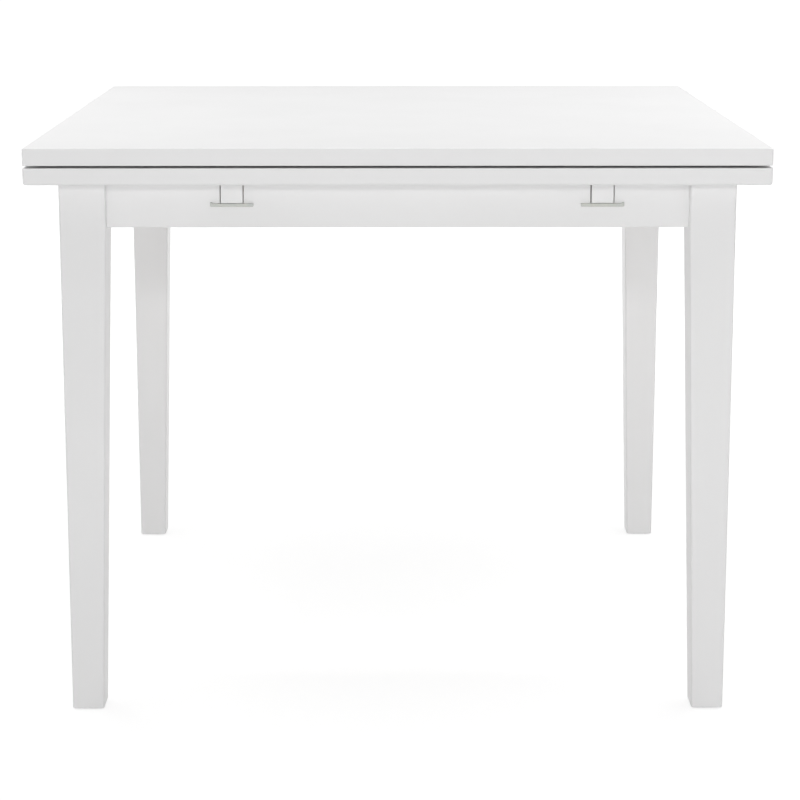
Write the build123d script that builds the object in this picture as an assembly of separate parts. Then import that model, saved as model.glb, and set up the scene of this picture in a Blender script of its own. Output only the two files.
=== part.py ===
"""Draw-leaf extendable dining table, closed, in millimetres.

Origin on the floor under the middle of the table, +Z up, front towards -Y, right towards +X.
The back leaf and its running gear are the front ones turned half a turn about Z.
"""

import os
from math import sqrt

from build123d import *

# Boards
TOP_SIZE = 950.0
HEIGHT = 760.0
BOARD = 22.0
GAP = 3.0
EDGE_ROUND = 1.0
LEAF_UNDER_ROUND = 3.5
CORNER_ROUND = 3.0
CENTRE_DEPTH = 99.0
SEAM = 0.5
REST_GAP = 0.3

# Legs
LEG_INSET = 39.0
LEG_TOP = 60.0
LEG_FOOT = 42.0
LEG_ARRIS = 3.0
FOOT_EASE = 1.0
GLIDE_THICK = 2.0
GLIDE_RADIUS = 7.5
CORNER_FLAT = 12.0

# Aprons and rails
APRON_BOTTOM = 652.0
APRON_THICK = 20.0
APRON_SETBACK = 12.0
APRON_ARRIS = 1.5
RAIL_THICK = 18.0
TENON = 10.0
TENON_THICK = 10.0
TENON_SHOULDER = 10.0

# Running gear
TRAVEL = 425.0
BEARER_NEAR_X = 214.0
BEARER_PITCH = 50.0
BEARER_WIDTH = 28.0
BEARER_DEPTH = 29.0
BEARER_RELIEF = 1.5
BEARER_END_CLEAR = 4.0
BEARER_PROUD = 4.0
SIDE_CLEAR = 1.6
RUN_CLEAR = 0.3
SADDLE_THICK = 4.0
SADDLE_WIDTH = 56.0
SADDLE_WING = 5.0
SADDLE_TONGUE = 28.0
SADDLE_PAST = 4.0
SADDLE_LIP = 1.5
SADDLE_LIP_WIDTH = 3.5
STOP_RADIUS = 5.0
STOP_DROP = 8.0
STOP_END = 8.0
STOP_CLEAR = 0.5
PEG_X = 330.0
PEG_RADIUS = 6.0
PEG_CLEAR = 0.2
PEG_SINK = 12.0
PEG_TAIL = 10.0
BUSH_RADIUS = 9.0
BUSH_FLANGE = 12.0
BUSH_FLANGE_THICK = 1.2
PAD_RADIUS = 10.0

# Fixings
BRACKET_THICK = 2.5
BRACKET_STANDOFF = 6.0
BRACKET_FLANGE = 30.0
BRACKET_MARGIN = 8.0
BOLT_RADIUS = 4.0
BOLT_DEPTH = 30.0
BOLT_TAIL = 18.0
BOLT_OFFSET = 11.0
NUT_FLATS = 13.0
NUT_THICK = 6.5
DOWEL_RADIUS = 4.0
DOWEL_LENGTH = 30.0
DOWEL_OFFSET = 17.0

# Derived levels and places
HALF = TOP_SIZE / 2
TOP_UNDER = HEIGHT - BOARD
LEAF_TOP = TOP_UNDER - GAP
LEAF_UNDER = LEAF_TOP - BOARD
FRAME_TOP = LEAF_UNDER - REST_GAP
LEG_FACE = HALF - LEG_INSET
LEG_INNER = LEG_FACE - LEG_TOP
APRON_FACE = LEG_FACE - APRON_SETBACK
APRON_INNER = APRON_FACE - APRON_THICK
APRON_MIDDLE = APRON_FACE - APRON_THICK / 2
APRON_HALF_Z = (APRON_BOTTOM + FRAME_TOP) / 2
CENTRE_HALF = CENTRE_DEPTH / 2
LEAF_INNER = CENTRE_HALF + SEAM
BEARER_UNDER = LEAF_UNDER - BEARER_DEPTH
BEARER_END = APRON_INNER - BEARER_END_CLEAR
STOP_Y = BEARER_END - STOP_END
RAIL_INNER = TRAVEL + STOP_RADIUS + STOP_CLEAR - STOP_Y
RAIL_OUTER = RAIL_INNER + RAIL_THICK
SADDLE_TOP = BEARER_UNDER - RUN_CLEAR
SADDLE_UNDER = SADDLE_TOP - SADDLE_THICK
BEARER_FAR_X = BEARER_NEAR_X + BEARER_PITCH
FRONT_BEARERS = (-BEARER_NEAR_X, BEARER_FAR_X)
BACK_BEARERS = (BEARER_NEAR_X, -BEARER_FAR_X)
BEARER_SCREW_Y = (-410.0, -300.0, -190.0, -80.0)
HALF_TURN = Rot(0, 0, 180)


def block(x0, x1, y0, y1, z0, z1):
    """A square-edged block between two corners."""
    centre = Pos((x0 + x1) / 2, (y0 + y1) / 2, (z0 + z1) / 2)
    return centre * Box(abs(x1 - x0), abs(y1 - y0), abs(z1 - z0))


def group(solids):
    """Several separate solids as one named piece."""
    return Compound(children=list(solids))


def turned(*profile):
    """A solid of revolution about Z from a closed (radius, height) profile."""
    return revolve(make_face(Plane.XZ * Polyline(*profile, close=True)), Axis.Z)


def facing(x, y, z, direction):
    """The place of a fixing whose head faces the given direction."""
    return Plane(origin=(x, y, z), z_dir=direction).location


def countersunk_screw(length, shank=2.0, head=4.0):
    """A wood screw driven towards -Z with its head flush at zero."""
    return turned((0, 0), (head, 0), (shank, shank - head), (shank, shank - length), (0, -length))


def pan_screw(length, shank=2.0, head=4.0, rise=2.4):
    """A wood screw driven towards -Z with a raised head standing on zero."""
    return turned(
        (0, rise), (head * 0.6, rise), (head, rise * 0.4), (head, 0),
        (shank, 0), (shank, shank - length), (0, -length),
    )


def rounded_board(shape, top_round, under_round, keep_square_back):
    """Rounds a board's outer upright corners, then its upper and lower edges."""
    uprights = shape.edges().filter_by(Axis.Z)
    if keep_square_back:
        uprights = uprights.sort_by(Axis.Y)[:2]
    shape = fillet(uprights, CORNER_ROUND)
    for pick, radius in ((-1, top_round), (0, under_round)):
        rim = shape.faces().sort_by(Axis.Z)[pick].edges().sort_by(Axis.Y)
        if keep_square_back:
            rim = rim[:-1]
        shape = fillet(rim, radius)
    return shape


# Boards

def guide_pegs():
    """Two beech pegs that locate the loose top in the centre board."""
    low = LEAF_UNDER - PEG_TAIL
    high = TOP_UNDER + PEG_SINK
    peg = turned(
        (0, low), (PEG_RADIUS - 2, low), (PEG_RADIUS, low + 3), (PEG_RADIUS, high), (0, high),
    )
    return [Pos(x, 0, 0) * peg for x in (-PEG_X, PEG_X)]


def spacer_pads():
    """Felt discs under the top that hold it just clear of the leaves."""
    pad_thick = GAP - RUN_CLEAR
    pad = Pos(0, 0, TOP_UNDER - pad_thick / 2) * Cylinder(PAD_RADIUS, pad_thick)
    rows = [(x, y) for x in (-420, 0, 420) for y in (-400, -150, 150, 400)]
    rows += [(x, 0) for x in (-420, -140, 140, 420)]
    return [Pos(x, y, 0) * pad for x, y in rows]


def main_top():
    """The loose upper board, with blind holes for its guide pegs."""
    blank = block(-HALF, HALF, -HALF, HALF, TOP_UNDER, HEIGHT)
    board = rounded_board(blank, EDGE_ROUND, EDGE_ROUND, False)
    for peg in guide_pegs():
        board -= peg
    return board


def bearer_screws():
    """Screws up through the counterbores of the two front bearers."""
    screw = Rot(180, 0, 0) * countersunk_screw(35)
    head = BEARER_UNDER + 8
    return [Pos(x, y, head) * screw for x in FRONT_BEARERS for y in BEARER_SCREW_Y]


def front_leaf():
    """The lower board in front of the centre board."""
    blank = block(-HALF, HALF, -HALF, -LEAF_INNER, LEAF_UNDER, LEAF_TOP)
    board = rounded_board(blank, EDGE_ROUND, LEAF_UNDER_ROUND, True)
    for screw in bearer_screws():
        board -= screw
    return board


def peg_bushes():
    """Flanged nylon bushes that the guide pegs slide in."""
    top = LEAF_TOP - REST_GAP
    bore = PEG_RADIUS + PEG_CLEAR
    bush = turned(
        (bore, FRAME_TOP), (BUSH_RADIUS, FRAME_TOP), (BUSH_RADIUS, top), (BUSH_FLANGE, top),
        (BUSH_FLANGE, top + BUSH_FLANGE_THICK), (bore, top + BUSH_FLANGE_THICK),
    )
    return [Pos(x, 0, 0) * bush for x in (-PEG_X, PEG_X)]


def centre_screws():
    """Screws down through the centre board into the rails and the side aprons."""
    screw = countersunk_screw(45)
    rail_y = (RAIL_INNER + CENTRE_HALF) / 2
    spots = [(x, y) for x in (-365, 0, 365) for y in (-rail_y, rail_y)]
    spots += [(x, y) for x in (-APRON_MIDDLE, APRON_MIDDLE) for y in (-22, 22)]
    return [Pos(x, y, LEAF_TOP - REST_GAP) * screw for x, y in spots]


def centre_board():
    """The narrow fixed board between the two leaves."""
    top = LEAF_TOP - REST_GAP
    board = block(-HALF, HALF, -CENTRE_HALF, CENTRE_HALF, FRAME_TOP, top)
    ends = board.edges().filter_by(Axis.Y)
    board = fillet(ends.filter_by_position(Axis.Z, top - 1, top + 1), EDGE_ROUND)
    ends = board.edges().filter_by(Axis.Y)
    board = fillet(ends.filter_by_position(Axis.Z, FRAME_TOP - 1, FRAME_TOP + 1), LEAF_UNDER_ROUND)
    for x in (-PEG_X, PEG_X):
        board -= Pos(x, 0, (FRAME_TOP + top) / 2) * Cylinder(BUSH_RADIUS, BOARD)
    for screw in centre_screws():
        board -= screw
    return board


# Frame, drawn at the front left corner and mirrored

def corner_bolts():
    """Two hanger bolts across the front left corner, threaded into the leg."""
    at = LEG_INNER + CORNER_FLAT / 2
    along = (BOLT_TAIL - BOLT_DEPTH) / 2
    rod = Pos(0, 0, along) * Cylinder(BOLT_RADIUS, BOLT_DEPTH + BOLT_TAIL)
    rod = chamfer(rod.edges(), 1.0)
    heights = (APRON_HALF_Z - BOLT_OFFSET, APRON_HALF_Z + BOLT_OFFSET)
    return [facing(-at, -at, z, (1, 1, 0)) * rod for z in heights]


def corner_nuts():
    """Flange nuts that draw the leg into the corner."""
    at = LEG_INNER + CORNER_FLAT / 2 - (BRACKET_STANDOFF + BRACKET_THICK) / sqrt(2)
    nut = extrude(RegularPolygon(NUT_FLATS / 2, 6, major_radius=False), NUT_THICK)
    nut += extrude(Circle(NUT_FLATS / 2 + 2), 1.6)
    nut -= extrude(Circle(BOLT_RADIUS), NUT_THICK)
    heights = (APRON_HALF_Z - BOLT_OFFSET, APRON_HALF_Z + BOLT_OFFSET)
    return [facing(-at, -at, z, (1, 1, 0)) * nut for z in heights]


def bracket_screws():
    """Four screws from the bracket's flanges into the two aprons."""
    bend = bracket_bend()
    along = bend - BRACKET_FLANGE * 0.6
    screw = pan_screw(18)
    seat = APRON_INNER - BRACKET_THICK
    found = []
    for z in (APRON_HALF_Z - BOLT_OFFSET, APRON_HALF_Z + BOLT_OFFSET):
        found.append(facing(-along, -seat, z, (0, 1, 0)) * screw)
        found.append(facing(-seat, -along, z, (1, 0, 0)) * screw)
    return found


def bracket_bend():
    """Distance from the middle at which the bracket folds on to an apron."""
    return 2 * LEG_INNER + CORNER_FLAT - BRACKET_STANDOFF * sqrt(2) - APRON_INNER


def corner_bracket():
    """A folded steel strip across the corner behind the leg."""
    bend = bracket_bend()
    path = Polyline(
        (-bend + BRACKET_FLANGE, -APRON_INNER), (-bend, -APRON_INNER),
        (-APRON_INNER, -bend), (-APRON_INNER, -bend + BRACKET_FLANGE),
    )
    strip = make_face(offset(path, BRACKET_THICK, side=Side.RIGHT, kind=Kind.INTERSECTION))
    low = APRON_BOTTOM + BRACKET_MARGIN
    plate = Pos(0, 0, low) * extrude(strip, FRAME_TOP - BRACKET_MARGIN - low)
    at = LEG_INNER + CORNER_FLAT / 2
    for z in (APRON_HALF_Z - BOLT_OFFSET, APRON_HALF_Z + BOLT_OFFSET):
        plate -= facing(-at, -at, z, (1, 1, 0)) * Cylinder(BOLT_RADIUS + 0.5, 60)
    for screw in bracket_screws():
        plate -= screw
    return plate


def corner_dowels():
    """Dowels that locate the leg against the ends of its two aprons."""
    dowel = Cylinder(DOWEL_RADIUS, DOWEL_LENGTH)
    found = []
    for z in (APRON_HALF_Z - DOWEL_OFFSET, APRON_HALF_Z + DOWEL_OFFSET):
        found.append(facing(-LEG_INNER, -APRON_MIDDLE, z, (1, 0, 0)) * dowel)
        found.append(facing(-APRON_MIDDLE, -LEG_INNER, z, (0, 1, 0)) * dowel)
    return found


def foot_glide():
    """A nylon glide with its nail, pressed into the foot."""
    at = LEG_FACE - LEG_FOOT / 2
    glide = turned(
        (0, 0), (GLIDE_RADIUS - 1, 0), (GLIDE_RADIUS, 1), (GLIDE_RADIUS, GLIDE_THICK),
        (1.5, GLIDE_THICK), (1.5, GLIDE_THICK + 14), (0, GLIDE_THICK + 16),
    )
    return Pos(-at, -at, 0) * glide


def leg():
    """The front left leg, upright outside and tapered on its two inner faces to an eased foot."""
    def section(z, start, width):
        middle = -LEG_FACE + start + width / 2
        return Pos(middle, middle, z) * RectangleRounded(width, width, LEG_ARRIS)

    taper = (LEG_TOP - LEG_FOOT) / (APRON_BOTTOM - GLIDE_THICK)
    sections = [
        section(GLIDE_THICK, FOOT_EASE, LEG_FOOT - 2 * FOOT_EASE),
        section(GLIDE_THICK + FOOT_EASE, 0, LEG_FOOT + taper * FOOT_EASE),
        section(APRON_BOTTOM, 0, LEG_TOP),
        section(FRAME_TOP, 0, LEG_TOP),
    ]
    post = loft(sections, ruled=True)
    flat = Rot(0, 0, 45) * Box(CORNER_FLAT * sqrt(2), 40, FRAME_TOP - APRON_BOTTOM)
    post -= Pos(-LEG_INNER, -LEG_INNER, APRON_HALF_Z) * flat
    for fixing in corner_bolts() + corner_dowels() + [foot_glide()]:
        post -= fixing
    return post


def four_corners(make):
    """The front left solids of a piece, repeated at all four corners."""
    solids = list(make())
    solids += [mirror(solid, about=Plane.YZ) for solid in solids]
    return solids + [mirror(solid, about=Plane.XZ) for solid in solids]


# Running gear, drawn for the front leaf

def bearer(x):
    """A runner under the front leaf, relieved where it passes under the fixed board."""
    outer = -APRON_FACE - BEARER_PROUD
    relief = LEAF_UNDER - BEARER_RELIEF
    outline = Polyline(
        (outer, BEARER_UNDER + 0.5), (outer + 0.5, BEARER_UNDER), (BEARER_END - 12, BEARER_UNDER),
        (BEARER_END, BEARER_UNDER + 5), (BEARER_END, relief), (-LEAF_INNER, relief),
        (-LEAF_INNER, LEAF_UNDER), (outer, LEAF_UNDER), close=True,
    )
    bar = extrude(make_face(Plane.YZ * outline), BEARER_WIDTH / 2, both=True)
    for y in BEARER_SCREW_Y:
        bar -= Pos(0, y, BEARER_UNDER + 4) * Cylinder(4.5, 8)
        bar -= Pos(0, y, BEARER_UNDER + 8) * (Rot(180, 0, 0) * countersunk_screw(35))
    bar -= Pos(0, STOP_Y, LEAF_UNDER) * Cylinder(STOP_RADIUS, 4 * BEARER_DEPTH)
    return Pos(x, 0, 0) * bar


def stop_pegs():
    """Pegs in the bearers' inner ends that meet the rail at full draw."""
    low = BEARER_UNDER - STOP_DROP
    high = LEAF_UNDER - BEARER_RELIEF
    peg = turned(
        (0, low), (STOP_RADIUS - 1, low), (STOP_RADIUS, low + 1), (STOP_RADIUS, high), (0, high),
    )
    return [Pos(x, STOP_Y, 0) * peg for x in FRONT_BEARERS]


def saddle_screws():
    """Two screws through each front saddle's tongue into the apron."""
    screw = countersunk_screw(22, shank=1.75, head=3.5)
    spots = [(x + side, -APRON_MIDDLE) for x in FRONT_BEARERS for side in (-8, 8)]
    return [Pos(x, y, SADDLE_TOP) * screw for x, y in spots]


def saddle(x):
    """A steel wear plate in the notch, with wings under the bearer and a lip on the outer one."""
    half = SADDLE_WIDTH / 2
    lip_foot = half - SADDLE_LIP_WIDTH
    strip = Polyline(
        (-half, SADDLE_UNDER + 1), (-half + 1, SADDLE_UNDER), (half - 1, SADDLE_UNDER),
        (half, SADDLE_UNDER + 1), (half, SADDLE_TOP + SADDLE_LIP), (half - 2, SADDLE_TOP + SADDLE_LIP),
        (lip_foot, SADDLE_TOP), (-half, SADDLE_TOP), close=True,
    )
    plate = extrude(make_face(Plane.XZ * strip), SADDLE_WING)
    rim = plate.faces().sort_by(Axis.Y)[0].edges().filter_by(Axis.X).sort_by(Axis.Z)
    plate = fillet(rim[0], 1.2)
    plate = Pos(0, -APRON_FACE, 0) * plate
    tongue = APRON_THICK + SADDLE_PAST
    side = SADDLE_TONGUE / 2
    plate += block(-side, side, -APRON_FACE, -APRON_FACE + tongue, SADDLE_UNDER, SADDLE_TOP)
    if x < 0:
        plate = mirror(plate, about=Plane.YZ)
    plate = Pos(x, 0, 0) * plate
    for screw in saddle_screws():
        plate -= screw
    return plate


def end_apron():
    """The front apron, notched for the front leaf's two bearers."""
    board = block(-LEG_INNER, LEG_INNER, -APRON_FACE, -APRON_INNER, APRON_BOTTOM, FRAME_TOP)
    lower = board.faces().sort_by(Axis.Z)[0].edges().filter_by(Axis.X)
    board = fillet(lower, APRON_ARRIS)
    notch = BEARER_WIDTH / 2 + SIDE_CLEAR
    for x in FRONT_BEARERS:
        board -= block(x - notch, x + notch, -HALF, 0, SADDLE_UNDER, HEIGHT)
    for fixing in saddle_screws() + four_corners(corner_dowels) + four_corners(bracket_screws):
        board -= fixing
    return board


def rail_blank():
    """The front guide rail before notching, with a stub tenon at each end."""
    rail = block(-APRON_INNER, APRON_INNER, -RAIL_OUTER, -RAIL_INNER, APRON_BOTTOM, FRAME_TOP)
    middle = (RAIL_INNER + RAIL_OUTER) / 2
    reach = APRON_INNER + TENON
    low = APRON_BOTTOM + TENON_SHOULDER
    high = FRAME_TOP - TENON_SHOULDER
    half = TENON_THICK / 2
    return rail + block(-reach, reach, -middle - half, -middle + half, low, high)


def guide_rail():
    """The front guide rail: shallow notches stop its own leaf, deep ones pass the other's pegs."""
    rail = rail_blank()
    notch = BEARER_WIDTH / 2 + SIDE_CLEAR
    shallow = BEARER_UNDER - 1.0
    deep = BEARER_UNDER - STOP_DROP - 2.0
    for spots, level in ((FRONT_BEARERS, shallow), (BACK_BEARERS, deep)):
        for x in spots:
            rail -= block(x - notch, x + notch, -HALF, 0, level, HEIGHT)
    for screw in centre_screws():
        rail -= screw
    return rail


def side_apron():
    """The left apron, mortised for both guide rails."""
    board = block(-APRON_FACE, -APRON_INNER, -LEG_INNER, LEG_INNER, APRON_BOTTOM, FRAME_TOP)
    lower = board.faces().sort_by(Axis.Z)[0].edges().filter_by(Axis.Y)
    board = fillet(lower, APRON_ARRIS)
    blank = rail_blank()
    board -= blank
    board -= HALF_TURN * blank
    for fixing in four_corners(corner_dowels) + four_corners(bracket_screws) + centre_screws():
        board -= fixing
    return board


def write(name, shape):
    """Saves one named piece."""
    export_step(shape, f"parts/{name}.step")


def main():
    """Builds every piece and writes it under its name."""
    os.makedirs("parts", exist_ok=True)

    write("main_top", main_top())
    write("guide_pegs", group(guide_pegs()))
    write("spacer_pads", group(spacer_pads()))

    leaf = front_leaf()
    near = bearer(FRONT_BEARERS[0])
    far = bearer(FRONT_BEARERS[1])
    write("front_leaf", leaf)
    write("bearer_front_left", near)
    write("bearer_front_right", far)
    write("bearer_screws_front", group(bearer_screws()))
    write("stop_pegs_front", group(stop_pegs()))
    write("back_leaf", HALF_TURN * leaf)
    write("bearer_back_right", HALF_TURN * near)
    write("bearer_back_left", HALF_TURN * far)
    write("bearer_screws_back", group(HALF_TURN * screw for screw in bearer_screws()))
    write("stop_pegs_back", group(HALF_TURN * peg for peg in stop_pegs()))

    write("centre_board", centre_board())
    write("centre_board_screws", group(centre_screws()))
    write("peg_bushes", group(peg_bushes()))

    apron = end_apron()
    side = side_apron()
    rail = guide_rail()
    write("apron_front", apron)
    write("apron_back", HALF_TURN * apron)
    write("apron_left", side)
    write("apron_right", HALF_TURN * side)
    write("guide_rail_front", rail)
    write("guide_rail_back", HALF_TURN * rail)

    near = saddle(FRONT_BEARERS[0])
    far = saddle(FRONT_BEARERS[1])
    write("saddle_front_left", near)
    write("saddle_front_right", far)
    write("saddle_back_right", HALF_TURN * near)
    write("saddle_back_left", HALF_TURN * far)
    screws = saddle_screws()
    write("saddle_screws", group(screws + [HALF_TURN * screw for screw in screws]))

    corners = ("front_left", "front_right", "back_left", "back_right")
    for name, make in (("leg", leg), ("corner_bracket", corner_bracket), ("foot_glide", foot_glide)):
        for corner, shape in zip(corners, four_corners(lambda: [make()])):
            write(f"{name}_{corner}", shape)
    write("corner_bolts", group(four_corners(corner_bolts)))
    write("corner_nuts", group(four_corners(corner_nuts)))
    write("corner_dowels", group(four_corners(corner_dowels)))
    write("bracket_screws", group(four_corners(bracket_screws)))


if __name__ == "__main__":
    main()
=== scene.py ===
import math

import bmesh
import bpy
from bpy.props import FloatProperty, FloatVectorProperty, IntProperty, PointerProperty
from mathutils import Matrix, Vector


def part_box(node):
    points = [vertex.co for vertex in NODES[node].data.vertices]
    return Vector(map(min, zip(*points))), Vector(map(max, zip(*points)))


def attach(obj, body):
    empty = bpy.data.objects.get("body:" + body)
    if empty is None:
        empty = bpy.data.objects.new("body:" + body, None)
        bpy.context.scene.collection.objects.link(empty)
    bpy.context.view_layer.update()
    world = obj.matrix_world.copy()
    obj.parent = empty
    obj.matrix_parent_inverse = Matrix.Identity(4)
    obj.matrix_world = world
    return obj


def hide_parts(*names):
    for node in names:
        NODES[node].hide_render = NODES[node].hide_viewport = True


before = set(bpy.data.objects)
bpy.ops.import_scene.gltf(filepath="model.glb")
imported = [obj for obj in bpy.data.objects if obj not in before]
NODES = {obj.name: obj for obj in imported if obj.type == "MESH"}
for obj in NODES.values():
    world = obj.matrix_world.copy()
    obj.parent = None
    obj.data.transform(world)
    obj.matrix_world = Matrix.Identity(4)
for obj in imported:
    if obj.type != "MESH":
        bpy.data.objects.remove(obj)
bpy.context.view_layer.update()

bl_info = {
    "name": "Draw-leaf dining table",
    "version": (1, 0, 0),
    "blender": (4, 5, 0),
    "location": "3D View > Sidebar > Table",
    "description": "Finishes and fixings of a white draw-leaf dining table around its solid model",
    "category": "Object",
}

MM = 0.001
NOISE_MIDDLE = (0.35, 0.65)  # the noise values between which a colour goes from one end to the other
NOISE_SPAN = (0.3, 0.7)  # the same for roughness, a little gentler

CORNERS = ("front_left", "front_right", "back_left", "back_right")
LACQUERED = (
    "main_top", "front_leaf", "back_leaf", "centre_board",
    "apron_front", "apron_back", "apron_left", "apron_right",
    *(f"{kind}_{corner}" for kind in ("leg", "bearer") for corner in CORNERS),
)
BEECH_ALONG_X = ("guide_rail_front", "guide_rail_back")
BEECH_UPRIGHT = ("guide_pegs", "stop_pegs_front", "stop_pegs_back")
SADDLES = tuple(f"saddle_{corner}" for corner in CORNERS)
BRACKETS = tuple(f"corner_bracket_{corner}" for corner in CORNERS)

WAVE_RATE = 20.0  # radians that a wave texture goes through in one unit at scale 1

CROSS_RINGS = (1.2 * MM, 0.8 * MM)  # radii of a recess's rim and floor before it gets its four arms
CROSS_POINT = 0.3 * MM  # how much deeper a recess is in its middle
SHARP = math.radians(32)  # faces that meet at more than this keep a crisp edge


class LacquerFinish(bpy.types.PropertyGroup):
    """The sprayed white finish of the boards and the frame."""

    colour: FloatVectorProperty(
        name="Colour", description="Colour of the lacquer", subtype="COLOR", size=3,
        min=0.0, max=1.0, default=(0.832, 0.83, 0.83),
    )
    roughness: FloatProperty(
        name="Roughness", description="How satin the lacquer is", min=0.0, max=1.0,
        subtype="FACTOR", default=0.36,
    )
    peel_size: FloatProperty(
        name="Orange peel size", description="Width of one dimple in the sprayed coat",
        unit="LENGTH", default=2.6 * MM,
    )
    peel_depth: FloatProperty(
        name="Orange peel depth", description="Depth of the dimples in the sprayed coat",
        unit="LENGTH", default=0.012 * MM,
    )
    # Painted shade: factor that darkens the lacquer colour on downward faces and near the floor
    painted_shade_level: FloatProperty(
        name="Shade level", description="How bright the lacquer stays underneath and at the feet",
        min=0.0, max=1.0, subtype="FACTOR", default=0.955,
    )
    # Painted shade: height over which the legs' lacquer darkens towards the floor
    shaded_height: FloatProperty(
        name="Shaded height", description="How far up from the floor the legs are scuffed",
        unit="LENGTH", default=350 * MM,
    )


class TimberFinish(bpy.types.PropertyGroup):
    """The bare beech of the rails, pegs and dowels."""

    early: FloatVectorProperty(
        name="Early wood", description="Lighter colour of the beech", subtype="COLOR", size=3,
        min=0.0, max=1.0, default=(0.62, 0.41, 0.245),
    )
    late: FloatVectorProperty(
        name="Late wood", description="Darker colour of the growth rings", subtype="COLOR", size=3,
        min=0.0, max=1.0, default=(0.49, 0.295, 0.16),
    )
    ring_width: FloatProperty(
        name="Ring width", description="Distance between the darkest growth rings", unit="LENGTH",
        default=28.27 * MM,
    )


class SteelFinish(bpy.types.PropertyGroup):
    """The bright zinc plating of the saddles, brackets and fixings."""

    colour: FloatVectorProperty(
        name="Colour", description="Colour of the plated steel", subtype="COLOR", size=3,
        min=0.0, max=1.0, default=(0.58, 0.59, 0.58),
    )
    # Painted shade: the saddles get this darker copy of the zinc colour for their shaded look
    shaded_zinc: FloatVectorProperty(
        name="Shaded colour", description="Colour of the saddles, burnished by the bearers",
        subtype="COLOR", size=3, min=0.0, max=1.0, default=(0.5, 0.505, 0.49),
    )
    roughness: FloatProperty(
        name="Roughness", description="How dull the plating is", min=0.0, max=1.0,
        subtype="FACTOR", default=0.34,
    )


class FixingSizes(bpy.types.PropertyGroup):
    """Sizes of the details that the screws, bolts and glides carry."""

    recess_width: FloatProperty(
        name="Recess width", description="Across the arms of a screw's cross recess",
        unit="LENGTH", default=4.4 * MM,
    )
    recess_depth: FloatProperty(
        name="Recess depth", description="Depth of a screw's cross recess", unit="LENGTH",
        default=1.7 * MM,
    )
    bolt_pitch: FloatProperty(
        name="Bolt pitch", description="Thread pitch of the hanger bolts", unit="LENGTH",
        default=1.25 * MM,
    )
    bolt_plain: FloatProperty(
        name="Plain length", description="Length of a hanger bolt before its thread", unit="LENGTH",
        default=31 * MM,
    )
    nut_flats: FloatProperty(
        name="Nut flats", description="Across the flats of a flange nut", unit="LENGTH", default=13 * MM,
    )
    nut_thick: FloatProperty(
        name="Nut thickness", description="Thickness of a flange nut with its flange", unit="LENGTH",
        default=6.5 * MM,
    )
    segments: IntProperty(
        name="Segments", description="Steps round each turned screw and bolt", min=16, max=64, default=32,
    )
    nut_segments: IntProperty(
        name="Nut segments", description="Steps round a nut, a multiple of six", min=12, max=72, default=36,
    )
    glide_segments: IntProperty(
        name="Glide segments", description="Steps round a foot glide", min=16, max=96, default=48,
    )


class StudioSettings(bpy.types.PropertyGroup):
    """Camera, floor and lights of the studio."""

    lens: FloatProperty(
        name="Lens", description="Focal length in millimetres on a 36 mm sensor", default=99.87,
    )
    rise: FloatProperty(
        name="Vertical shift", description="Lens shift that frames the table from above",
        default=-0.1,
    )
    eye: FloatVectorProperty(
        name="Eye", description="Where the camera stands", subtype="TRANSLATION", size=3,
        default=(-0.0088, -3.2656, 1.0711),
    )
    dip: FloatProperty(
        name="Dip", description="How far the camera looks down", unit="ROTATION", default=0.1881,
    )
    turn: FloatProperty(
        name="Turn", description="How far the camera looks to the left", unit="ROTATION",
        default=-0.0041,
    )
    over_power: FloatProperty(
        name="Overhead light", description="Power of the soft box above the table", unit="POWER",
        default=23.0,
    )
    over_left_power: FloatProperty(
        name="Left strip", description="Power of the strip above the left edge of the top",
        unit="POWER", default=15.4,
    )
    over_right_power: FloatProperty(
        name="Right strip", description="Power of the strip above the right edge of the top",
        unit="POWER", default=17.9,
    )
    key_power: FloatProperty(
        name="Key light", description="Power of the small light in front, over eye height",
        unit="POWER", default=9.2,
    )
    front_power: FloatProperty(
        name="Front light", description="Power of the wide low light in front", unit="POWER",
        default=175.0,
    )
    right_power: FloatProperty(
        name="Right light", description="Power of the low light at the front right", unit="POWER",
        default=32.0,
    )
    left_power: FloatProperty(
        name="Left light", description="Power of the low light at the front left", unit="POWER",
        default=28.0,
    )
    back_power: FloatProperty(
        name="Back lights", description="Power of each of the two lights behind the table",
        unit="POWER", default=95.0,
    )
    low_power: FloatProperty(
        name="Low card", description="Power of the weak card under the table", unit="POWER",
        default=0.62,
    )
    fill_level: FloatProperty(
        name="Surround", description="Level of the white surround that fills the shadows",
        min=0.0, default=0.235,
    )
    floor_tone: FloatProperty(
        name="Floor", description="How much light the floor sends back up at the table",
        min=0.0, max=1.0, subtype="FACTOR", default=0.77,
    )
    floor_seen: FloatProperty(
        name="Floor in view", description="How much of the light and shade on the floor is seen",
        min=0.0, max=1.0, subtype="FACTOR", default=0.3,
    )
    floor_glow: FloatProperty(
        name="Floor glow", description="Evenness that is added to the floor in view near the table",
        min=0.0, max=1.0, subtype="FACTOR", default=0.79,
    )
    glow_from: FloatProperty(
        name="Glow from", description="Distance from the table where the floor starts to turn white",
        unit="LENGTH", default=1.0,
    )
    glow_full: FloatProperty(
        name="Glow full", description="Distance from the table where the floor is all white",
        unit="LENGTH", default=2.6,
    )


class TableSettings(bpy.types.PropertyGroup):
    """Everything about the table that can be changed."""

    lacquer: PointerProperty(type=LacquerFinish, name="Lacquer", description="White lacquer")
    timber: PointerProperty(type=TimberFinish, name="Timber", description="Bare beech")
    steel: PointerProperty(type=SteelFinish, name="Steel", description="Zinc plated steel")
    fixings: PointerProperty(type=FixingSizes, name="Fixings", description="Screws and bolts")
    studio: PointerProperty(type=StudioSettings, name="Studio", description="Camera, floor and lights")


# Materials

def shade(colour, factor):
    """A lighter or darker version of a colour."""
    return tuple(min(1.0, channel * factor) for channel in colour)


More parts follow.
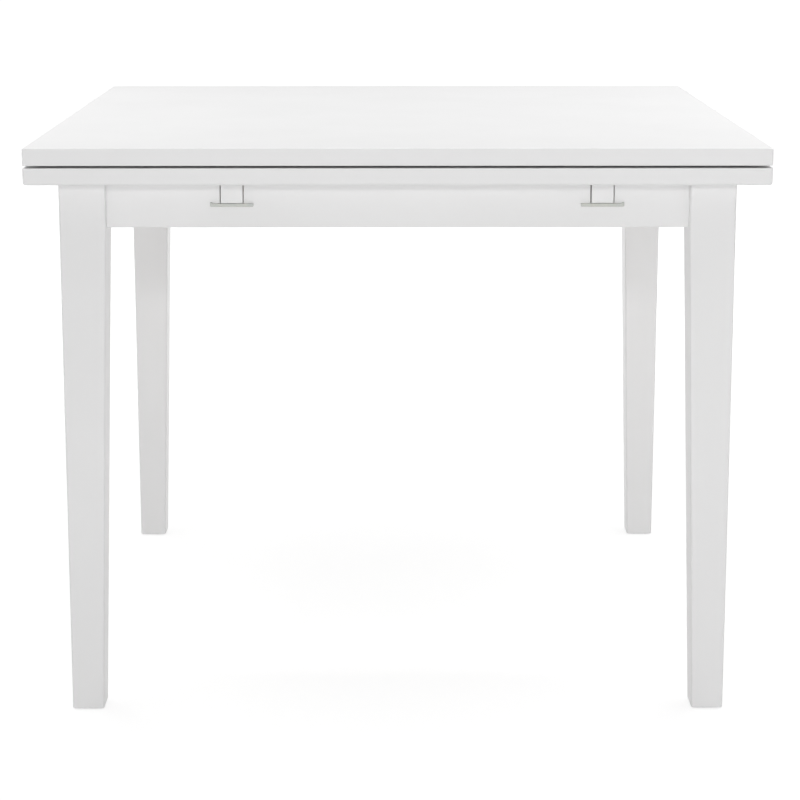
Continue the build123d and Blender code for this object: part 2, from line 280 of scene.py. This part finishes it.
class Finish:
    """A node material under construction, with short ways to add what the finishes share."""

    def __init__(self, name):
        self.material = bpy.data.materials.new(name)
        self.material.use_nodes = True
        self.tree = self.material.node_tree
        self.shader = next(n for n in self.tree.nodes if n.type == "BSDF_PRINCIPLED")
        self.place = self.add("ShaderNodeTexCoord").outputs["Object"]

    def add(self, kind, **settings):
        node = self.tree.nodes.new(kind)
        for key, value in settings.items():
            setattr(node, key, value)
        return node

    def join(self, source, target):
        self.tree.links.new(source, target)

    def set(self, **values):
        """Constants on the shader's own sockets, named with underscores for spaces."""
        for key, value in values.items():
            self.shader.inputs[key.replace("_", " ")].default_value = value

    def stretched(self, scale, turn=(0, 0, 0)):
        """Object coordinates through a Mapping node."""
        node = self.add("ShaderNodeMapping")
        node.inputs["Scale"].default_value = scale
        node.inputs["Rotation"].default_value = turn
        self.join(self.place, node.inputs["Vector"])
        return node.outputs["Vector"]

    def noise(self, vector, scale, detail=3.0, roughness=0.5):
        node = self.add("ShaderNodeTexNoise")
        node.inputs["Scale"].default_value = scale
        node.inputs["Detail"].default_value = detail
        node.inputs["Roughness"].default_value = roughness
        self.join(vector, node.inputs["Vector"])
        return node.outputs["Fac"]

    def ramp(self, value, *stops):
        """Colours spread over a value, as (position, colour) pairs."""
        node = self.add("ShaderNodeValToRGB")
        while len(node.color_ramp.elements) < len(stops):
            node.color_ramp.elements.new(0.5)
        for element, (position, colour) in zip(node.color_ramp.elements, stops):
            element.position = position
            element.color = (*colour, 1.0)
        self.join(value, node.inputs["Fac"])
        return node.outputs["Color"]

    def spread(self, value, low, high, start=0.0, stop=1.0):
        """A value mapped from start..stop to low..high."""
        node = self.add("ShaderNodeMapRange")
        for key, number in zip(("From Min", "From Max", "To Min", "To Max"), (start, stop, low, high)):
            node.inputs[key].default_value = number
        self.join(value, node.inputs["Value"])
        return node.outputs["Result"]

    def math(self, operation, first, second):
        node = self.add("ShaderNodeMath", operation=operation)
        for socket, value in zip(node.inputs, (first, second)):
            if isinstance(value, (int, float)):
                socket.default_value = value
            else:
                self.join(value, socket)
        return node.outputs["Value"]

    def mix(self, factor, first, second):
        """Two colours mixed by a factor; sockets 0, 6 and 7 are the factor and the two colours."""
        node = self.add("ShaderNodeMix", data_type="RGBA")
        for socket, value in zip((node.inputs[0], node.inputs[6], node.inputs[7]), (factor, first, second)):
            if isinstance(value, tuple):
                socket.default_value = (*value, 1.0)
            else:
                self.join(value, socket)
        return node.outputs[2]

    def bump(self, *layers):
        """Stacked bumps, each a (height, depth in metres) pair."""
        normal = None
        for height, depth in layers:
            node = self.add("ShaderNodeBump")
            node.inputs["Strength"].default_value = 1.0
            node.inputs["Distance"].default_value = depth
            self.join(height, node.inputs["Height"])
            if normal:
                self.join(normal, node.inputs["Normal"])
            normal = node.outputs["Normal"]
        self.join(normal, self.shader.inputs["Normal"])


def white_lacquer(settings):
    """Sprayed satin lacquer: faint orange peel, a soft unevenness, rougher underneath, with painted shade
    underneath and towards the floor.
    """
    finish = Finish("white_lacquer")
    base = tuple(settings.colour)
    # Painted shade: a darker copy of the lacquer colour, for downward faces and the lower legs
    painted_shade_colour = shade(base, settings.painted_shade_level)
    cloud = finish.noise(finish.place, 5.0, detail=4.0)
    colour = finish.mix(
        finish.spread(cloud, 0.0, 1.0, *NOISE_MIDDLE), shade(base, 0.988), shade(base, 1.008),
    )
    # Painted shade: the colour darkens towards the floor, fully at floor level
    above = finish.add("ShaderNodeSeparateXYZ")
    finish.join(finish.place, above.inputs["Vector"])
    shaded = finish.spread(above.outputs["Z"], 1.0, 0.0, 0.0, settings.shaded_height)
    # Painted shade on downward faces; the same mask also makes them rougher
    normal = finish.add("ShaderNodeSeparateXYZ")
    finish.join(finish.add("ShaderNodeNewGeometry").outputs["Normal"], normal.inputs["Vector"])
    under = finish.spread(normal.outputs["Z"], 1.0, 0.0, -0.95, -0.6)
    finish.join(
        finish.mix(under, finish.mix(shaded, colour, painted_shade_colour), painted_shade_colour), finish.shader.inputs["Base Color"],
    )
    satin = finish.spread(
        finish.noise(finish.place, 14.0, detail=5.0),
        settings.roughness - 0.03, settings.roughness + 0.03, *NOISE_SPAN,
    )
    dry = finish.math("MULTIPLY", under, 0.16)
    finish.join(finish.math("ADD", satin, dry), finish.shader.inputs["Roughness"])
    finish.set(IOR=1.5, Specular_IOR_Level=0.42)
    peel = finish.noise(finish.place, 1.0 / settings.peel_size, detail=1.5, roughness=0.35)
    nib = finish.noise(finish.place, 5.0 / settings.peel_size, detail=1.0)
    finish.bump((peel, settings.peel_depth), (nib, settings.peel_depth * 0.12))
    return finish.material


def bare_beech(settings, name, lengthwise):
    """Planed beech with growth rings, fine grain and the short dark flecks of its rays."""
    finish = Finish(name)

    def lengthened(squash, turn=(0, 0, 0)):
        """Coordinates that draw every pattern out along the grain."""
        scale = [1.0, 1.0, 1.0]
        scale[lengthwise] = squash
        return finish.stretched(scale, turn)

    wander = finish.noise(lengthened(0.045), 30.0, detail=2.0)
    rings = finish.add("ShaderNodeTexWave", wave_type="RINGS", rings_direction="XYZ"[lengthwise])
    rings.inputs["Scale"].default_value = math.tau / WAVE_RATE / settings.ring_width
    rings.inputs["Distortion"].default_value = 3.5
    rings.inputs["Detail"].default_value = 2.0
    finish.join(lengthened(0.045, (0.05, 0.04, 0.03)), rings.inputs["Vector"])
    growth = finish.math(
        "ADD", finish.math("MULTIPLY", rings.outputs["Fac"], 0.55), finish.math("MULTIPLY", wander, 0.45),
    )
    wood = finish.mix(
        finish.spread(growth, 0.0, 1.0, 0.25, 0.8), tuple(settings.early), tuple(settings.late),
    )
    flecks = finish.noise(lengthened(0.16), 900.0, detail=1.0)
    fleck = finish.spread(flecks, 0.0, 0.55, 0.62, 0.72)
    finish.join(finish.mix(fleck, wood, shade(settings.late, 0.55)), finish.shader.inputs["Base Color"])
    finish.join(finish.spread(flecks, 0.62, 0.74, *NOISE_SPAN), finish.shader.inputs["Roughness"])
    grain = finish.noise(lengthened(0.03), 1400.0, detail=3.0)
    finish.bump((grain, 0.05 * MM))
    return finish.material


def zinc_plated(settings, name, colour):
    """Zinc over steel: cloudy passivation and fine handling scratches."""
    finish = Finish(name)
    red, green, blue = colour
    cloud = finish.noise(finish.place, 90.0, detail=5.0, roughness=0.6)
    tint = finish.mix(
        finish.spread(cloud, 0.0, 1.0, *NOISE_MIDDLE),
        (red * 0.9, green * 0.92, blue * 0.93), (red * 1.08, green * 1.07, blue * 1.02),
    )
    finish.join(tint, finish.shader.inputs["Base Color"])
    finish.join(
        finish.spread(cloud, settings.roughness - 0.07, settings.roughness + 0.1, *NOISE_SPAN),
        finish.shader.inputs["Roughness"],
    )
    finish.set(Metallic=1.0)
    scratch = finish.noise(finish.stretched((1.0, 0.05, 0.4), (0.1, 0.2, 0.6)), 2600.0, detail=2.0)
    cross = finish.noise(finish.stretched((0.05, 1.0, 1.0), (0.3, 0.1, 0.3)), 1900.0, detail=1.0)
    finish.bump((scratch, 0.012 * MM), (cross, 0.008 * MM))
    return finish.material


def grey_felt():
    """Pressed felt: matted fibres of several greys."""
    finish = Finish("felt")
    fibres = finish.noise(finish.stretched((1.0, 0.35, 1.0), (0.0, 0.0, 0.8)), 1500.0, detail=4.0)
    tufts = finish.noise(finish.place, 420.0, detail=3.0)
    mixed = finish.math("ADD", finish.math("MULTIPLY", fibres, 0.6), finish.math("MULTIPLY", tufts, 0.4))
    greys = finish.ramp(
        mixed, (0.3, (0.2, 0.2, 0.195)), (0.5, (0.36, 0.36, 0.35)), (0.7, (0.52, 0.515, 0.5)),
    )
    finish.join(greys, finish.shader.inputs["Base Color"])
    finish.set(Roughness=0.95, Specular_IOR_Level=0.1, Sheen_Weight=0.35, Sheen_Roughness=0.5)
    finish.bump((mixed, 0.25 * MM))
    return finish.material


def moulded_nylon(name, colour, roughness):
    """Injection moulded nylon with the fine spark texture of its mould."""
    finish = Finish(name)
    mottle = finish.noise(finish.place, 160.0, detail=3.0)
    mottled = finish.mix(
        finish.spread(mottle, 0.0, 1.0, *NOISE_MIDDLE), shade(colour, 0.92), shade(colour, 1.06),
    )
    finish.join(mottled, finish.shader.inputs["Base Color"])
    spark = finish.noise(finish.place, 3200.0, detail=2.0)
    finish.join(
        finish.spread(spark, roughness - 0.06, roughness + 0.1, *NOISE_SPAN),
        finish.shader.inputs["Roughness"],
    )
    finish.bump((spark, 0.02 * MM))
    return finish.material


def give(material, *names):
    """Puts a finish on CAD nodes."""
    for name in names:
        for slot in NODES[name].material_slots:
            slot.material = material


def plated():
    """The bright zinc finish, made once and shared."""
    steel = settings().steel
    return bpy.data.materials.get("zinc_steel") or zinc_plated(steel, "zinc_steel", steel.colour)


# Turned and placed fixings

def solids_of(node):
    """The (lowest, highest) corners of each separate solid in a CAD node, in a steady order."""
    mesh = bmesh.new()
    mesh.from_mesh(NODES[node].data)
    bmesh.ops.remove_doubles(mesh, verts=mesh.verts, dist=0.002 * MM)
    left = set(mesh.verts)
    found = []
    for start in mesh.verts:
        if start not in left:
            continue
        left.discard(start)
        queue, members = [start], []
        while queue:
            vert = queue.pop()
            members.append(vert.co.copy())
            for edge in vert.link_edges:
                other = edge.other_vert(vert)
                if other in left:
                    left.discard(other)
                    queue.append(other)
        low = Vector(min(c[i] for c in members) for i in range(3))
        high = Vector(max(c[i] for c in members) for i in range(3))
        found.append((low, high))
    mesh.free()
    return sorted(found, key=lambda box: tuple(round(c, 5) for c in box[0]))


def turn(mesh, profile, segments, place, shape=None):
    """Spins a (radius, height) profile about Z; shape may scale the radius by radius and angle."""
    verts = [mesh.verts.new((radius, 0.0, height)) for radius, height in profile]
    edges = [mesh.edges.new(pair) for pair in zip(verts, verts[1:])]
    bmesh.ops.spin(
        mesh, geom=verts + edges, cent=(0, 0, 0), axis=(0, 0, 1), dvec=(0, 0, 0),
        angle=2 * math.pi, steps=segments, use_merge=True, use_normal_flip=False, use_duplicate=False,
    )
    made = {v for e in edges for v in e.verts}
    queue = list(made)
    while queue:
        vert = queue.pop()
        for edge in vert.link_edges:
            other = edge.other_vert(vert)
            if other not in made:
                made.add(other)
                queue.append(other)
    if shape:
        for vert in made:
            factor = shape(math.hypot(vert.co.x, vert.co.y), math.atan2(vert.co.y, vert.co.x))
            vert.co.x *= factor
            vert.co.y *= factor
    bmesh.ops.transform(mesh, matrix=place, verts=list(made))


def towards(origin, direction):
    """A placement whose +Z looks along direction."""
    return Matrix.Translation(origin) @ Vector(direction).to_track_quat("Z", "Y").to_matrix().to_4x4()


def cross_recess(width):
    """A shape for turn that draws a recess's two rings out into four arms."""
    def factor(radius, angle):
        if all(abs(radius - ring) > 0.02 * MM for ring in CROSS_RINGS):
            return 1.0
        from_arm = abs((angle + math.pi / 4) % (math.pi / 2) - math.pi / 4)
        reach = width / 2 if from_arm < math.radians(12) else width * 0.2
        return reach / CROSS_RINGS[0]
    return factor


def countersunk(mesh, place, head, shank, length, sizes):
    """A countersunk wood screw with a cross recess; its head looks along the place's +Z."""
    rim, floor = CROSS_RINGS
    depth = sizes.recess_depth
    edge = 0.3 * MM
    profile = [
        (0.0, -depth - CROSS_POINT), (floor, -depth), (rim, 0.0), (head - edge / 2, 0.0),
        (head, -0.4 * edge), (head, -edge), (shank, -edge - (head - shank)),
        (shank, -length + 2 * shank), (0.0, -length),
    ]
    turn(mesh, profile, sizes.segments, place, cross_recess(sizes.recess_width))


def pan_headed(mesh, place, head, shank, length, rise, sizes):
    """A pan-headed screw with a cross recess, its head standing on the place's origin."""
    rim, floor = CROSS_RINGS
    bottom = rise - sizes.recess_depth
    profile = [
        (0.0, bottom - CROSS_POINT), (floor, bottom), (rim, rise),
        (head * 0.62, rise), (head * 0.84, rise * 0.84), (head * 0.97, rise * 0.52), (head, rise * 0.12),
        (head, 0.0), (shank, 0.0), (shank, -length + 2 * shank), (0.0, -length),
    ]
    turn(mesh, profile, sizes.segments, place, cross_recess(sizes.recess_width))


def threaded_rod(mesh, place, radius, length, sizes):
    """A bolt lying along the place's +Z, plain at first and then cut with a thread."""
    pitch = sizes.bolt_pitch
    root = radius - 0.6 * pitch
    end = 0.3 * MM
    profile = [(0.0, 0.0), (radius * 0.5, 0.0), (radius, radius * 0.7), (radius, sizes.bolt_plain)]
    height = sizes.bolt_plain
    while height + pitch < length - 2 * end:
        profile += [
            (root, height + pitch * 0.42), (root, height + pitch * 0.55),
            (radius, height + pitch * 0.94), (radius, height + pitch),
        ]
        height += pitch
    profile += [(root, length - end), (root - end, length), (0.0, length)]
    turn(mesh, profile, sizes.segments, place)


def flange_nut(mesh, place, bore, flange, sizes):
    """A hexagon nut on its own round flange, bevelled at the top, with a chamfered bore."""
    thick = sizes.nut_thick
    corner = sizes.nut_flats / 2 / math.cos(math.pi / 6)
    profile = [
        (bore, 0.0), (flange, 0.0), (flange, 0.9 * MM), (corner * 1.02, 1.9 * MM),
        (corner, 2.0 * MM), (corner, thick - 0.7 * MM), (corner * 0.9, thick), (bore + 0.5 * MM, thick),
        (bore, thick - 0.5 * MM), (bore, 0.0),
    ]

    def hexagon(radius, angle):
        if not corner * 0.95 < radius < corner * 1.01:
            return 1.0
        from_flat = angle % (math.pi / 3) - math.pi / 6
        return sizes.nut_flats / 2 / math.cos(from_flat) / corner

    turn(mesh, profile, sizes.nut_segments, place, hexagon)


def piece(name, mesh, body, material, slot, *nodes):
    """Turns a bmesh into a finished object that stands for CAD nodes and rides on a body."""
    bmesh.ops.remove_doubles(mesh, verts=mesh.verts, dist=0.001 * MM)
    bmesh.ops.recalc_face_normals(mesh, faces=mesh.faces)
    data = bpy.data.meshes.new(name)
    mesh.to_mesh(data)
    mesh.free()
    for face in data.polygons:
        face.use_smooth = True
    data.set_sharp_from_angle(angle=SHARP)
    data.materials.append(material)
    made = bpy.data.objects.new(name, data)
    bpy.context.scene.collection.objects.link(made)
    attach(made, body)
    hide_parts(*nodes)


def settings():
    """The table's settings, as the sidebar shows them."""
    return bpy.context.scene.draw_table


def inward_from(place):
    """The level direction from a corner of the frame to the middle of the table."""
    return Vector((-math.copysign(1, place.x), -math.copysign(1, place.y), 0)).normalized()


def in_view(tree, lighting, seen):
    """One shader for the rays that light the table, another for camera, glossy and transmission rays."""
    rays = tree.nodes.new("ShaderNodeLightPath")
    direct = rays.outputs["Is Camera Ray"]
    for kind in ("Is Glossy Ray", "Is Transmission Ray"):
        either = tree.nodes.new("ShaderNodeMath")
        either.operation = "MAXIMUM"
        tree.links.new(direct, either.inputs[0])
        tree.links.new(rays.outputs[kind], either.inputs[1])
        direct = either.outputs[0]
    pick = tree.nodes.new("ShaderNodeMixShader")
    for source, socket in zip((direct, lighting.outputs[0], seen.outputs[0]), pick.inputs):
        tree.links.new(source, socket)
    return pick.outputs[0]


# Operators

class DRAWTABLE_OT_lacquer(bpy.types.Operator):
    """Lacquer the boards, legs, aprons and bearers"""

    bl_idname = "draw_table.lacquer"
    bl_label = "White Lacquer"

    def execute(self, context):
        give(white_lacquer(settings().lacquer), *LACQUERED)
        return {"FINISHED"}


class DRAWTABLE_OT_timber(bpy.types.Operator):
    """Give the guide rails, pegs and dowels their bare beech"""

    bl_idname = "draw_table.timber"
    bl_label = "Bare Beech"

    def execute(self, context):
        timber = settings().timber
        give(bare_beech(timber, "beech_rail", 0), *BEECH_ALONG_X)
        give(bare_beech(timber, "beech_peg", 2), *BEECH_UPRIGHT)
        give(bare_beech(timber, "beech_dowel", 1), "corner_dowels")
        return {"FINISHED"}


class DRAWTABLE_OT_plates(bpy.types.Operator):
    """Plate the saddles and the corner brackets with zinc"""

    bl_idname = "draw_table.plates"
    bl_label = "Steel Plates"

    def execute(self, context):
        steel = settings().steel
        give(plated(), *BRACKETS)
        # Painted shade: the saddles' zinc is a darker copy of the bracket zinc
        give(zinc_plated(steel, "shaded_steel", steel.shaded_zinc), *SADDLES)
        return {"FINISHED"}


class DRAWTABLE_OT_soft_parts(bpy.types.Operator):
    """Give the spacer pads their felt and the bushes their nylon"""

    bl_idname = "draw_table.soft_parts"
    bl_label = "Pads and Bushes"

    def execute(self, context):
        give(grey_felt(), "spacer_pads")
        give(moulded_nylon("white_nylon", (0.8, 0.8, 0.78), 0.42), "peg_bushes")
        return {"FINISHED"}


class DRAWTABLE_OT_wood_screws(bpy.types.Operator):
    """Fit the countersunk screws of the bearers, saddles and centre board"""

    bl_idname = "draw_table.wood_screws"
    bl_label = "Countersunk Screws"

    def execute(self, context):
        steel = plated()
        sizes = settings().fixings
        groups = (
            ("bearer_screws_front", "front_leaf", -1), ("bearer_screws_back", "back_leaf", -1),
            ("saddle_screws", "frame", 1), ("centre_board_screws", "frame", 1),
        )
        for node, body, looks in groups:
            mesh = bmesh.new()
            for low, high in solids_of(node):
                size, middle = high - low, (low + high) / 2
                head = size.x / 2
                face = Vector((middle.x, middle.y, high.z if looks > 0 else low.z))
                countersunk(mesh, towards(face, (0, 0, looks)), head, head / 2, size.z, sizes)
            piece(node + "_cut", mesh, body, steel, "zinc_steel", node)
        return {"FINISHED"}


class DRAWTABLE_OT_bracket_screws(bpy.types.Operator):
    """Fit the pan-headed screws that hold the corner brackets"""

    bl_idname = "draw_table.bracket_screws"
    bl_label = "Bracket Screws"

    rise = 2.4 * MM  # how far a head stands up

    def execute(self, context):
        sizes = settings().fixings
        mesh = bmesh.new()
        for low, high in solids_of("bracket_screws"):
            size = high - low
            along = 0 if size.x > size.y else 1
            middle = (low + high) / 2
            side = 1 if middle[along] > 0 else -1
            looks = Vector((0, 0, 0))
            looks[along] = -side
            face = middle.copy()
            face[along] = (low if side > 0 else high)[along] - looks[along] * self.rise
            head, length = size.z / 2, size[along] - self.rise
            pan_headed(mesh, towards(face, looks), head, head / 2, length, self.rise, sizes)
        piece("bracket_screws_cut", mesh, "frame", plated(), "zinc_steel", "bracket_screws")
        return {"FINISHED"}


class DRAWTABLE_OT_corner_bolts(bpy.types.Operator):
    """Fit the hanger bolts and flange nuts that pull the legs into the corners"""

    bl_idname = "draw_table.corner_bolts"
    bl_label = "Corner Bolts"

    bolt_chamfer = 1 * MM  # how much narrower the solid bolts are at their ends
    bore = 4 * MM  # radius of the hole in a nut

    def execute(self, context):
        steel = plated()
        sizes = settings().fixings
        bolts, nuts = bmesh.new(), bmesh.new()
        for low, high in solids_of("corner_bolts"):
            middle = (low + high) / 2
            inward = inward_from(middle)
            radius = (high.z - low.z) / 2
            length = math.sqrt(2) * (high.x - low.x) - 2 * (radius - self.bolt_chamfer)
            threaded_rod(bolts, towards(middle - inward * length / 2, inward), radius, length, sizes)
        for low, high in solids_of("corner_nuts"):
            middle = (low + high) / 2
            inward = inward_from(middle)
            flange = (high.z - low.z) / 2
            outmost = min(Vector((x, y, 0)).dot(inward) for x in (low.x, high.x) for y in (low.y, high.y))
            seat = inward * (outmost + flange) + Vector((0, 0, middle.z))
            flange_nut(nuts, towards(seat, inward), self.bore, flange, sizes)
        piece("corner_bolts_cut", bolts, "frame", steel, "zinc_steel", "corner_bolts")
        piece("corner_nuts_cut", nuts, "frame", steel, "zinc_steel", "corner_nuts")
        return {"FINISHED"}


class DRAWTABLE_OT_foot_glides(bpy.types.Operator):
    """Mould the nylon glides under the feet, each with its nail head"""

    bl_idname = "draw_table.foot_glides"
    bl_label = "Foot Glides"

    disc = 2 * MM  # thickness of the disc under the foot
    nail = 1.5 * MM  # radius of the nail
    point = 2 * MM  # length of the nail's point

    def execute(self, context):
        nylon = moulded_nylon("dark_nylon", (0.17, 0.17, 0.17), 0.5)
        for corner in CORNERS:
            node = f"foot_glide_{corner}"
            low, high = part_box(node)
            size, middle = high - low, (low + high) / 2
            radius = size.x / 2
            nail_head = [(0.0, 0.9 * MM), (2.2 * MM, 0.75 * MM)]
            sole = [(2.9 * MM, 0.0), (radius - 1.4 * MM, 0.0), (radius - 0.4 * MM, 0.3 * MM)]
            rim = [(radius, 0.9 * MM), (radius, 1.85 * MM), (radius - 0.15 * MM, self.disc)]
            nail = [(self.nail, self.disc), (self.nail, size.z - self.point), (0.0, size.z)]
            mesh = bmesh.new()
            place = Matrix.Translation((middle.x, middle.y, low.z))
            turn(mesh, nail_head + sole + rim + nail, settings().fixings.glide_segments, place)
            piece(node + "_moulded", mesh, "frame", nylon, "dark_nylon", node)
        return {"FINISHED"}


class DRAWTABLE_OT_studio(bpy.types.Operator):
    """Set up the pale floor, the white surround, the lights and the camera"""

    bl_idname = "draw_table.studio"
    bl_label = "Studio"

    floor_reach = 30.0  # metres from the table to the floor's edges

    def execute(self, context):
        studio = settings().studio
        self.floor(studio)
        self.surround(studio)
        self.lights(studio)
        self.camera(studio)
        context.scene.view_settings.view_transform = "Standard"
        return {"FINISHED"}

    def floor(self, studio):
        """A floor that lights the table, and looks white with a faint shadow on it."""
        mesh = bmesh.new()
        bmesh.ops.create_grid(mesh, x_segments=1, y_segments=1, size=self.floor_reach)
        data = bpy.data.meshes.new("studio_floor")
        mesh.to_mesh(data)
        mesh.free()
        ground = bpy.data.objects.new("studio_floor", data)
        bpy.context.scene.collection.objects.link(ground)
        material = bpy.data.materials.new("studio_floor")
        material.use_nodes = True
        tree = material.node_tree
        tree.nodes.clear()
        join = tree.links.new
        paint = tree.nodes.new("ShaderNodeBsdfDiffuse")
        paint.inputs["Color"].default_value = (*[studio.floor_tone] * 3, 1)
        shadow = tree.nodes.new("ShaderNodeBsdfDiffuse")
        shadow.inputs["Color"].default_value = (*[studio.floor_seen] * 3, 1)
        place = tree.nodes.new("ShaderNodeTexCoord")
        away = tree.nodes.new("ShaderNodeVectorMath")
        away.operation = "LENGTH"
        join(place.outputs["Object"], away.inputs[0])
        fade = tree.nodes.new("ShaderNodeMapRange")
        fade.interpolation_type = "SMOOTHSTEP"
        span = (studio.glow_from, studio.glow_full, studio.floor_glow, 1.0)
        for name, value in zip(("From Min", "From Max", "To Min", "To Max"), span):
            fade.inputs[name].default_value = value
        join(away.outputs["Value"], fade.inputs["Value"])
        glow = tree.nodes.new("ShaderNodeEmission")
        join(fade.outputs["Result"], glow.inputs["Strength"])
        seen = tree.nodes.new("ShaderNodeAddShader")
        join(shadow.outputs[0], seen.inputs[0])
        join(glow.outputs[0], seen.inputs[1])
        end = tree.nodes.new("ShaderNodeOutputMaterial")
        join(in_view(tree, paint, seen), end.inputs["Surface"])
        data.materials.append(material)

    def surround(self, studio):
        """A surround that is white in view and lights the table at its own level."""
        world = bpy.data.worlds.new("white_surround")
        bpy.context.scene.world = world
        world.use_nodes = True
        tree = world.node_tree
        tree.nodes.clear()
        fill, white = (tree.nodes.new("ShaderNodeBackground") for _ in range(2))
        for node, strength in ((fill, studio.fill_level), (white, 1.0)):
            node.inputs["Color"].default_value = (1, 1, 1, 1)
            node.inputs["Strength"].default_value = strength
        end = tree.nodes.new("ShaderNodeOutputWorld")
        tree.links.new(in_view(tree, fill, white), end.inputs["Surface"])

    def lights(self, studio):
        """Soft boxes; the front one is turned aside, so the table's right gets a little more of it."""
        middle_of_floor, middle_of_frame = (0.0, 0.0, 0.0), (0.0, 0.0, 0.6)
        key_at, key_aim = (0.15, -2.7, 1.29), (0.0, 0.0, 0.75)
        card_at, card_aim = (0.06, -0.33, 0.3), (0.06, 0.4, 0.36)
        for name, at, aim, size, power, reflected in (
            ("over", (0.0, 0.0, 3.6), middle_of_floor, (3.0, 3.0), studio.over_power, True),
            ("over_left", (-1.3, 0.0, 2.1), (-1.3, 0.0, 0.0), (0.8, 2.0), studio.over_left_power, True),
            ("over_right", (1.3, 0.0, 2.1), (1.3, 0.0, 0.0), (0.8, 2.0), studio.over_right_power, True),
            ("key", key_at, key_aim, (0.9, 0.16), studio.key_power, False),
            ("front", (0.0, -8.0, 0.7), (8.0, 0.0, 0.6), (4.0, 1.2), studio.front_power, False),
            ("front_right", (5.0, -6.0, 0.85), middle_of_frame, (3.0, 1.4), studio.right_power, False),
            ("front_left", (-5.0, -6.0, 0.85), middle_of_frame, (3.0, 1.4), studio.left_power, False),
            ("back_right", (3.5, 4.5, 1.2), middle_of_frame, (3.0, 2.0), studio.back_power, False),
            ("back_left", (-3.5, 4.5, 1.2), middle_of_frame, (3.0, 2.0), studio.back_power, False),
            ("low", card_at, card_aim, (0.6, 0.45), studio.low_power, True),
        ):
            light = bpy.data.lights.new(name, "AREA")
            light.shape = "RECTANGLE"
            light.size, light.size_y = size
            light.energy = power
            lamp = bpy.data.objects.new(name, light)
            lamp.location = at
            lamp.rotation_euler = (Vector(aim) - Vector(at)).to_track_quat("-Z", "Y").to_euler()
            lamp.visible_camera = False
            lamp.visible_glossy = reflected
            bpy.context.scene.collection.objects.link(lamp)

    def camera(self, studio):
        """The camera in front of the table, looking slightly down."""
        data = bpy.data.cameras.new("camera")
        data.sensor_width = 36.0
        data.lens = studio.lens
        data.shift_y = studio.rise
        data.clip_end = 100.0
        view = bpy.data.objects.new("camera", data)
        view.location = studio.eye
        view.rotation_euler = (math.pi / 2 - studio.dip, 0.0, studio.turn)
        bpy.context.scene.collection.objects.link(view)
        bpy.context.scene.camera = view


class DRAWTABLE_PT_sidebar(bpy.types.Panel):
    """Lists the steps that dress the table"""

    bl_idname = "DRAWTABLE_PT_sidebar"
    bl_label = "Draw-leaf Table"
    bl_space_type = "VIEW_3D"
    bl_region_type = "UI"
    bl_category = "Table"

    def draw(self, context):
        table = context.scene.draw_table
        for title, group in (
            ("Lacquer", table.lacquer), ("Timber", table.timber), ("Steel", table.steel),
            ("Fixings", table.fixings), ("Studio", table.studio),
        ):
            box = self.layout.box()
            box.label(text=title)
            for key in group.__annotations__:
                box.prop(group, key)
        for step in STEPS:
            self.layout.operator(step.bl_idname)


STEPS = (
    DRAWTABLE_OT_lacquer, DRAWTABLE_OT_timber, DRAWTABLE_OT_plates, DRAWTABLE_OT_soft_parts,
    DRAWTABLE_OT_wood_screws, DRAWTABLE_OT_bracket_screws, DRAWTABLE_OT_corner_bolts,
    DRAWTABLE_OT_foot_glides, DRAWTABLE_OT_studio,
)
GROUPS = (LacquerFinish, TimberFinish, SteelFinish, FixingSizes, StudioSettings, TableSettings)


def register():
    for group in GROUPS + STEPS + (DRAWTABLE_PT_sidebar,):
        bpy.utils.register_class(group)
    bpy.types.Scene.draw_table = PointerProperty(type=TableSettings)


def unregister():
    del bpy.types.Scene.draw_table
    for group in reversed(GROUPS + STEPS + (DRAWTABLE_PT_sidebar,)):
        bpy.utils.unregister_class(group)


def main():
    register()
    for step in STEPS:
        family, name = step.bl_idname.split(".")
        getattr(getattr(bpy.ops, family), name)()


if __name__ == "__main__":
    main()
